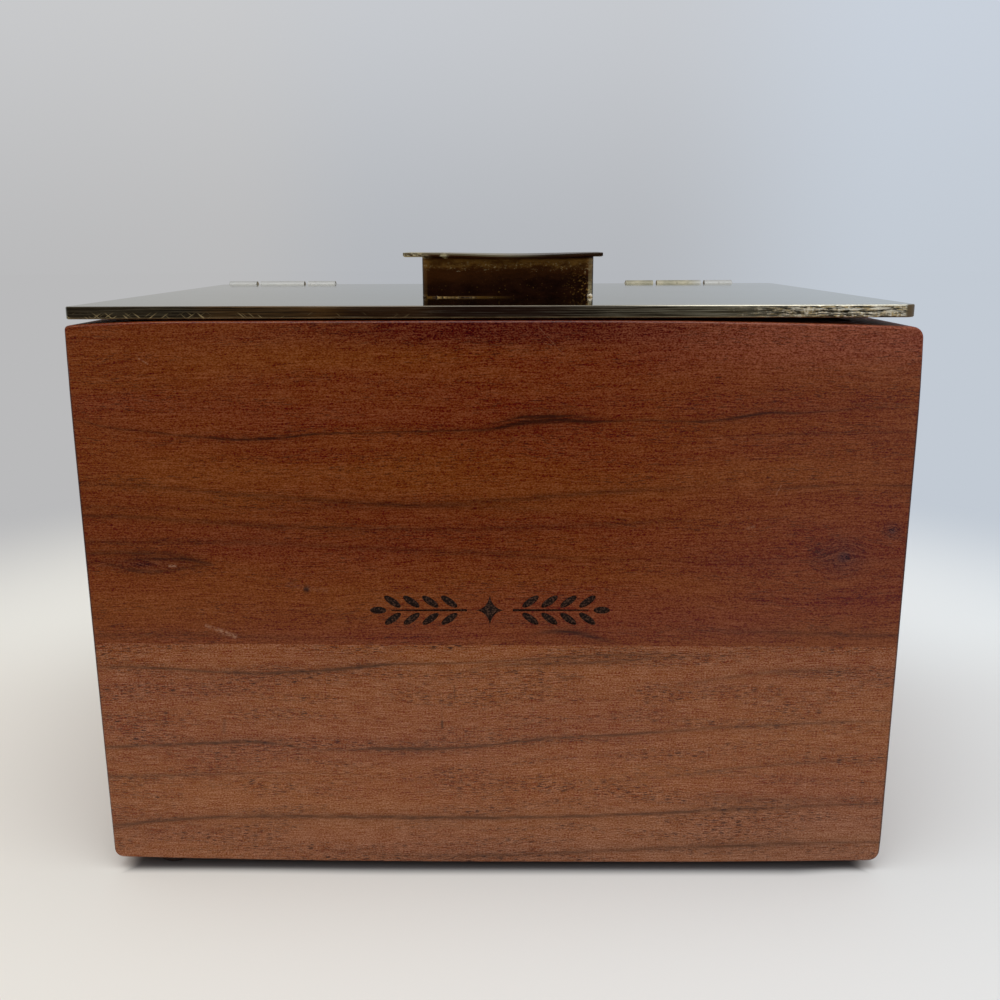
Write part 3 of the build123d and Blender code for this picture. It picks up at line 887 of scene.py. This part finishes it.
def charFinish():
    look = charLook
    f = Finish("charredCut")
    x, y, z = f.place()
    ash = f.pattern(x, z, y, look["ashPitch"])
    ribs = f.pattern(x, z, y, look["ribPitch"])
    ashen, sooty = ash.step(0.46, 0.66) * 0.8, ribs.step(0.5, 0.7) * 0.35
    colour = f.layers(paint(look["char"]), look, (ashen, "ash"), (sooty, "soot"))
    f.set(
        {
            "Base Color": colour,
            "Roughness": look["roughness"],
            "Specular IOR Level": look["specular"],
            "Normal": f.bump(ash + ribs * 0.5, look["relief"] * mm),
        }
    )
    return f.material


# Pieces


def addPiece(name, mesh, body, materials):
    piece = bpy.data.objects.new(name, mesh)
    bpy.context.scene.collection.objects.link(piece)
    mesh.materials.clear()
    for material in materials:
        mesh.materials.append(material)
    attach(piece, body)
    return piece


def dress(name, material):
    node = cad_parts[name]
    node.data.materials.clear()
    node.data.materials.append(material)


# The engraving: a sprig on each side of a lozenge

sprigLook = {
    "centre": (-1.1, 66.25),
    "lozenge": (3.4, 4.0),
    "stemStart": 5.2,
    "stemEnd": 22.4,
    "stemHalf": 0.28,
    "leafPairs": 4,
    "firstLeaf": 7.4,
    "leafPitch": 4.3,
    "leafLength": 4.5,
    "leafHalf": 0.82,
    "leafTilt": 36.0,
    "leafGap": 0.45,
    "bud": (25.4, 0.85),
    "budSlim": 2.2,
    "depth": 0.35,
    "proud": 0.6,
    "arcSteps": 8,
}


def leafOutline(root, length, half, turn):  # an almond from its root
    steps = sprigLook["arcSteps"]
    ends = [math.pi * i / steps for i in range(steps + 1)]
    upper = [(length * (1 - math.cos(t)) / 2, half * math.sin(t)) for t in ends]
    lower = [(along, -across) for along, across in reversed(upper[1:-1])]
    cos, sin = math.cos(turn), math.sin(turn)
    return [(root[0] + a * cos - c * sin, root[1] + a * sin + c * cos) for a, c in upper + lower]


def sprigOutlines():
    look = sprigLook
    across, tall = look["lozenge"]
    outlines = []
    steps = look["arcSteps"]
    quarter = [math.pi / 2 * i / steps for i in range(steps)]
    side = [(across * (1 - math.sin(t)), tall * (1 - math.cos(t))) for t in quarter]
    lozenge = side + [(0.0, tall)] + [(-a, u) for a, u in reversed(side[1:])]
    lozenge += [(-across, 0.0)] + [(-a, -u) for a, u in side[1:]] + [(0.0, -tall)]
    lozenge += [(a, -u) for a, u in reversed(side[1:])]
    outlines.append(lozenge)
    for hand in (-1, 1):
        half = look["stemHalf"]
        stem = [(look["stemStart"], -half), (look["stemEnd"], -half / 2), (look["stemEnd"], half / 2)]
        shapes = [stem + [(look["stemStart"], half)]]
        tilt = math.radians(look["leafTilt"])
        for index in range(look["leafPairs"]):
            along = look["firstLeaf"] + index * look["leafPitch"]
            for rise in (-1, 1):
                root = (along, rise * (half + look["leafGap"]))
                shapes.append(leafOutline(root, look["leafLength"], look["leafHalf"], rise * tilt))
        budPlace, budHalf = look["bud"]
        budReach = look["budSlim"] * budHalf
        shapes.append(leafOutline((budPlace - budReach, 0.0), 2 * budReach, budHalf, 0.0))
        for shape in shapes:
            turned = [(hand * a, u) for a, u in shape]
            outlines.append(turned if hand > 0 else turned[::-1])
    return outlines


def engraveFront(wood, char):
    look = sprigLook
    bm = bmesh.new()
    centreX, centreZ = look["centre"]
    for outline in sprigOutlines():
        near = [bm.verts.new((x + centreX, frontY - look["proud"], z + centreZ)) for x, z in outline]
        face = bm.faces.new(near)
        made = bmesh.ops.extrude_face_region(bm, geom=[face])["geom"]
        deep = [v for v in made if isinstance(v, bmesh.types.BMVert)]
        bmesh.ops.translate(bm, verts=deep, vec=(0.0, look["proud"] + look["depth"], 0.0))
    bmesh.ops.recalc_face_normals(bm, faces=bm.faces)
    bmesh.ops.scale(bm, vec=(mm, mm, mm), verts=bm.verts)
    cutterMesh = bpy.data.meshes.new("sprigCutter")
    bm.to_mesh(cutterMesh)
    bm.free()
    cutterMesh.materials.append(char)
    cutter = bpy.data.objects.new("sprigCutter", cutterMesh)
    bpy.context.scene.collection.objects.link(cutter)

    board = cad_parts["front_upper_board"].data.copy()
    board.name = "engravedFrontBoard"
    bm = bmesh.new()
    bm.from_mesh(board)
    bmesh.ops.remove_doubles(bm, verts=bm.verts, dist=0.001 * mm)
    bmesh.ops.recalc_face_normals(bm, faces=bm.faces)
    bm.to_mesh(board)
    bm.free()
    piece = addPiece("engravedFrontBoard", board, "case", [wood, char])
    cut = piece.modifiers.new("engraving", "BOOLEAN")
    cut.operation = "DIFFERENCE"
    cut.solver = "EXACT"
    cut.material_mode = "TRANSFER"
    cut.object = cutter
    bpy.context.view_layer.update()
    evaluated = piece.evaluated_get(bpy.context.evaluated_depsgraph_get())
    finished = bpy.data.meshes.new_from_object(evaluated)
    piece.modifiers.clear()
    piece.data = finished
    bpy.data.objects.remove(cutter)
    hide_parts("front_upper_board")
    print("front engraved with", len(finished.polygons), "faces and", len(finished.materials), "materials")


# Solder that has run out along the collar's front, at the knob's foot

solderLook = {
    "runs": [(-12.4, 8.4, 0.17), (-7.0, 7.0, 0.15), (-1.0, 5.0, 0.11)],  # x, length and thickness
    "drops": [(-14.4, 0.32), (-9.1, 0.30), (23.2, 0.70), (-17.5, 0.40)],  # x and radius
    "inwards": 0.1,  # how far the middles lie behind the collar's front
    "raised": 0.4,  # and above the plate, as a share of the thickness
    "wobble": 0.12,
    "wobblePitch": 0.9,
    "segments": 16,
    "gold": "#b79c66",
    "silverAndGlint": "#fff4dc",
    "dark": "#2c1a0c",
    "metallic": 0.4,
    "relief": 0.2,  # millimetres
    "grainPitch": (0.9, 0.9, 0.9, 3.0, 0.6),
    "patchPitch": (1.9, 9.0, 9.0, 2.0, 0.5),
}


def solderFinish():
    look = solderLook
    f = Finish("solder")
    x, y, z = f.place()
    grain = f.pattern(x, y, z, look["grainPitch"])
    patch = f.pattern(x, y, z, look["patchPitch"]).step(0.40, 0.56)
    # The right drop is painted near white: solder's silver, and a painted glint.
    rightDrop = x.step(16.0, 21.0)
    tone = f.blend(rightDrop, paint(look["gold"]), paint(look["silverAndGlint"]))
    bright = grain.step(0.36, 0.60) * patch.greater(rightDrop)
    colour = f.blend(bright, paint(look["dark"]), tone)
    f.set(
        {
            "Base Color": colour,
            "Metallic": look["metallic"],
            "Roughness": grain * 0.2 + 0.25,
            "Normal": f.bump(grain, look["relief"] * mm),
        }
    )
    return f.material


def buildSolder():
    look = solderLook
    bm = bmesh.new()
    lumps = [(x, length / 2, thick) for x, length, thick in look["runs"]]
    lumps += [(x, radius, radius) for x, radius in look["drops"]]
    rounds = {"u_segments": look["segments"], "v_segments": look["segments"], "radius": 1.0}
    for x, reach, thick in lumps:
        middle = (x, collarLow.y + look["inwards"], collarLow.z + thick * look["raised"])
        size = Matrix.Diagonal((reach, thick, thick, 1.0))
        bmesh.ops.create_uvsphere(bm, matrix=Matrix.Translation(middle) @ size, **rounds)
    for vert in bm.verts:
        wobble = noise.noise(vert.co * look["wobblePitch"]) * look["wobble"]
        vert.co.z = max(vert.co.z + wobble, collarLow.z)
    bmesh.ops.recalc_face_normals(bm, faces=bm.faces)
    bmesh.ops.scale(bm, vec=(mm, mm, mm), verts=bm.verts)
    mesh = bpy.data.meshes.new("knobSolder")
    bm.to_mesh(mesh)
    bm.free()
    mesh.shade_smooth()
    addPiece("knobSolder", mesh, "lid", [solderFinish()])


def buildCap():  # the front lip droops between the ends
    look = capLook
    bm = bmesh.new()
    middle = (capLow + capHigh) / 2
    half = (capHigh - capLow) / 2
    place = Matrix.Translation((middle.x, middle.y, capHigh.z)) @ Matrix.Diagonal((half.x, half.y, 1.0, 1.0))
    bmesh.ops.create_grid(bm, x_segments=look["columns"], y_segments=look["rows"], size=1.0, matrix=place)
    made = bmesh.ops.extrude_face_region(bm, geom=bm.faces[:])["geom"]
    under = {v for v in made if isinstance(v, bmesh.types.BMVert)}
    for vert in bm.verts:
        x, y, z = vert.co
        front = max(0.0, 1.0 - (y - capLow.y) / look["lipReach"])
        sag = math.exp(-(((x - look["middle"]) / look["spread"]) ** 2)) * look["droop"]
        top = z - sag * (look["backSag"] + (1.0 - look["backSag"]) * front**2)
        if vert in under:
            lip = max(top - look["thickness"], capLow.z)
            vert.co.z = lip * front + collarHigh.z * (1.0 - front)
        else:
            vert.co.z = top
    bmesh.ops.recalc_face_normals(bm, faces=bm.faces)
    bmesh.ops.scale(bm, vec=(mm, mm, mm), verts=bm.verts)
    mesh = bpy.data.meshes.new("bentCap")
    bm.to_mesh(mesh)
    bm.free()
    cap = addPiece("bentCap", mesh, "lid", [knobBrass])
    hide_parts("knob_cap")


# Dressing

frontUpper = woodFinish("woodFrontUpper", woodLook["upper"], "X", 1.0, frontUpperGrain)
dress("front_lower_board", woodFinish("woodFrontLower", woodLook["lower"], "X", 2.0, frontLowerGrain))
otherVeins = {
    "back_upper": [
        [(-92, 92, 0.5, 0.6), (-30, 95, 0.8, 0.7), (20, 97, 0.5, 0.0)],
        [(-20, 76, 0.8, 0.0), (30, 76, 1.2, 0.5), (92, 80, 0.9, 0.5)],
    ],
    "back_lower": [
        [(-92, 22, 0.8, 0.5), (0, 26, 0.8, 0.6), (92, 26, 0.6, 0.4)],
        [(-40, 44, 0.5, 0.0), (20, 43, 0.6, 0.6), (80, 41, 0.5, 0.3)],
    ],
    "left_upper": [
        [(-68, 112, 0.5, 0.6), (0, 110, 0.6, 0.7), (64, 106, 0.5, 0.4)],
        [(-68, 84, 1.1, 0.5), (-20, 87, 1.2, 0.4), (10, 88, 0.8, 0.0)],
    ],
    "left_lower": [
        [(-68, 36, 0.6, 0.6), (0, 35, 0.6, 0.7), (64, 31, 0.5, 0.5)],
        [(-30, 14, 0.8, 0.0), (20, 15, 0.9, 0.5), (64, 17, 0.8, 0.4)],
    ],
    "right_upper": [
        [(-68, 98, 0.5, 0.6), (0, 99, 0.6, 0.7), (50, 103, 0.5, 0.0)],
        [(-40, 70, 0.8, 0.0), (10, 72, 1.1, 0.5), (64, 74, 0.9, 0.4)],
    ],
    "right_lower": [
        [(-68, 20, 0.8, 0.5), (0, 23, 0.9, 0.6), (64, 24, 0.8, 0.4)],
        [(-68, 46, 0.5, 0.5), (0, 45, 0.6, 0.5), (40, 43, 0.5, 0.0)],
    ],
}
otherKnots = {"back_upper": [(48, 104, 5.0, 4.0, 0.5)], "left_upper": [(30, 74, 4.0, 3.2, 0.5)]}
for index, (key, veins) in enumerate(otherVeins.items()):
    side, level = key.split("_")
    grain = {"veins": veins, "knots": otherKnots.get(key, []), "darkStrokes": [], "paleStrokes": []}
    axis = "X" if side == "back" else "Y"
    dress(f"{key}_board", woodFinish(f"wood_{key}", woodLook[level], axis, 3.0 + index, grain))
dress("base_panel", plywoodFinish())
dress("lid_plate", lidFinish())
knobBrass = knobFinish()
dress("knob_collar", knobBrass)
buildCap()
hingeBrass = hingeFinish()
rubber = rubberFinish()
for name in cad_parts:
    if "hinge" in name:
        dress(name, hingeBrass)
    if name.endswith("foot"):
        dress(name, rubber)
print("nodes dressed")
engraveFront(frontUpper, charFinish())
buildSolder()
print("solder added")


# Floor, light and camera

stageLook = {
    "floorRadius": 6.0,
    "nearLeft": "#e6e2da",
    "nearRight": "#e3e5e6",
    "beyondLeft": "#ebe9e2",
    "beyondRight": "#ebeff1",
    "beyond": (20.0, 110.0),
    "farLeft": "#bababb",
    "farMiddle": "#b3b6bb",
    "farRight": "#c2cad4",
    "highLeft": "#cacbcd",
    "highMiddle": "#c8cbd0",
    "highRight": "#cad2dd",
    "nearEdge": 198.0,
    "farEdge": 400.0,
    # Painted contact shadow on the paper round the case's foot.
    "contactShadow": 0.84,
    "contactShadowFade": (3.0, -1.2),  # millimetres outside the case
    "cornerLift": 3.5,
    "leftLift": (-20.0, -75.0, 0.9),  # from x, to x, and by how much the case's ends rise
    "rightLift": (70.0, 86.0, 1.4),
    "contactShadowColour": "#403c41",
    "tintReach": 300.0,
    "tintSpread": 0.42,
    "middleSpread": (0.10, 0.26, 0.34),
    "frontDark": "#120e0a",
    "frontLeft": "#6c6058",
    "frontRight": "#b4b0b4",
    "darkStart": 130.0,
    "darkEnd": 330.0,
    "ahead": (0.35, 0.75),
    "overhead": (0.80, 0.45),
    "skyRise": (-0.06, 0.26),
    "fill": 0.80,
    "fillLean": 0.9,
    "fillLow": 0.03,
    "fillRise": (0.1, 0.65),
    "lampPower": 4.4,
    "lampSize": 0.9,
    "lampPlace": (0.0, -0.20, 1.0),
}


def sideTone(n, across):  # what lies behind the viewer, seen in polished faces: dark, lighter at the sides
    look = stageLook
    tone = n.blend(across.step(0.10, 0.42), paint(look["frontDark"]), paint(look["frontRight"]))
    return n.blend(across.step(-0.12, -0.42), tone, paint(look["frontLeft"]))


def backTone(n, across, level):  # the backdrop from left to right, "far" or "high"
    look = stageLook
    inner, left, right = look["middleSpread"]
    tone = n.blend(across.step(-left, -inner), paint(look[level + "Left"]), paint(look[level + "Middle"]))
    return n.blend(across.step(inner, right), tone, paint(look[level + "Right"]))


def buildFloor():
    look = stageLook
    bm = bmesh.new()
    bmesh.ops.create_circle(bm, cap_ends=True, segments=96, radius=look["floorRadius"])
    mesh = bpy.data.meshes.new("floor")
    bm.to_mesh(mesh)
    bm.free()
    floor = bpy.data.objects.new("floor", mesh)
    bpy.context.scene.collection.objects.link(floor)
    f = Finish("floorPaper")
    x, y, z = f.place()
    reach = (x * x + y * y) ** 0.5
    across = x / (reach + look["tintReach"])
    tint = across.step(-look["tintSpread"], look["tintSpread"])
    near = f.blend(tint, paint(look["nearLeft"]), paint(look["nearRight"]))
    beyond = f.blend(tint, paint(look["beyondLeft"]), paint(look["beyondRight"]))
    near = f.blend(y.step(*look["beyond"]), near, beyond)
    # Painted contact shadow: the paper is painted darker where the case all but touches it.
    gap = (x.size() - halfWidth + look["cornerLift"]).greater(frontY - y).greater(y - backY)
    for start, end, lift in (look["leftLift"], look["rightLift"]):
        gap = x.step(start, end) * lift + gap
    near = f.blend(gap.step(*look["contactShadowFade"]) * look["contactShadow"], near, paint(look["contactShadowColour"]))
    f.set({"Base Color": near, "Roughness": 0.9, "Specular IOR Level": 0.1})
    farGlow = f.add("Emission", {}, {"Color": backTone(f, across, "far")})
    shown = f.add("MixShader", {}, {0: reach.step(look["nearEdge"], look["farEdge"]), 2: farGlow})
    f.tree.links.new(f.shader.outputs[0], shown.socket.node.inputs[1])
    glossy = f.add("LightPath", {}, {}, "Is Glossy Ray")
    inFront = (-y).step(look["darkStart"], look["darkEnd"]) * (-y / reach).step(*look["ahead"])
    dark = f.add("Emission", {}, {"Color": sideTone(f, x / reach)})
    shown = f.add("MixShader", {}, {0: inFront * glossy, 1: shown, 2: dark})
    f.tree.links.new(shown.socket, f.tree.nodes["Material Output"].inputs["Surface"])
    floor.data.materials.append(f.material)


def buildWorld():
    look = stageLook
    world = bpy.data.worlds.new("studio")
    bpy.context.scene.world = world
    world.use_nodes = True
    world.node_tree.nodes.clear()
    n = Nodes(world.node_tree)
    x = n.add("SeparateXYZ", {}, {0: n.add("TexCoord", {}, {}, "Generated")}, "X")
    y, z = x.out("Y"), x.out("Z")
    sky = n.blend(z.step(*look["skyRise"]), backTone(n, x, "far"), backTone(n, x, "high"))
    camera = n.add("LightPath", {}, {}, "Is Camera Ray")
    glossy = camera.out("Is Glossy Ray")
    through = camera.out("Is Transmission Ray")
    inFront = (-y).step(*look["ahead"]) * z.step(*look["overhead"])
    seenColour = n.blend(inFront * glossy, sky, sideTone(n, x))
    rise = z.step(*look["fillRise"]) * (1.0 - look["fillLow"]) + look["fillLow"]
    level = (1.0 - y * look["fillLean"]) * rise
    fill = n.add("Background", {}, {"Color": (1.0, 1.0, 1.0, 1.0), "Strength": level * look["fill"]})
    seen = n.add("Background", {}, {"Color": seenColour, "Strength": 1.0})
    direct = camera.greater(glossy).greater(through)
    mixed = n.add("MixShader", {}, {0: direct, 1: fill, 2: seen})
    n.add("OutputWorld", {}, {"Surface": mixed})


def buildLamp():
    look = stageLook
    data = bpy.data.lights.new("softbox", "AREA")
    data.shape = "DISK"
    data.size = look["lampSize"]
    data.energy = look["lampPower"]
    lamp = bpy.data.objects.new("softbox", data)
    place = Vector(look["lampPlace"])
    lamp.matrix_world = Matrix.Translation(place) @ place.to_track_quat("Z", "Y").to_matrix().to_4x4()
    bpy.context.scene.collection.objects.link(lamp)


cameraLook = {
    "place": (3.145, -298.10, 146.97),  # millimetres
    "down": 13.496,  # degrees
    "turn": 0.468,
    "roll": -0.173,
    "lens": 38.26,
    "sensor": 36.0,
    "clip": (0.01, 50.0),  # metres
}


def buildCamera():
    look = cameraLook
    data = bpy.data.cameras.new("camera")
    data.lens = look["lens"]
    data.sensor_width = look["sensor"]
    data.clip_start, data.clip_end = look["clip"]
    camera = bpy.data.objects.new("camera", data)
    turn = Matrix.Rotation(math.radians(look["turn"]), 4, "Z")
    tilt = Matrix.Rotation(math.radians(90 - look["down"]), 4, "X")
    roll = Matrix.Rotation(math.radians(look["roll"]), 4, "Z")
    camera.matrix_world = Matrix.Translation(Vector(look["place"]) * mm) @ turn @ tilt @ roll
    bpy.context.scene.collection.objects.link(camera)
    bpy.context.scene.camera = camera


buildFloor()
buildWorld()
buildLamp()
buildCamera()
bpy.context.scene.view_settings.view_transform = "Standard"
print("stage, light and camera set")
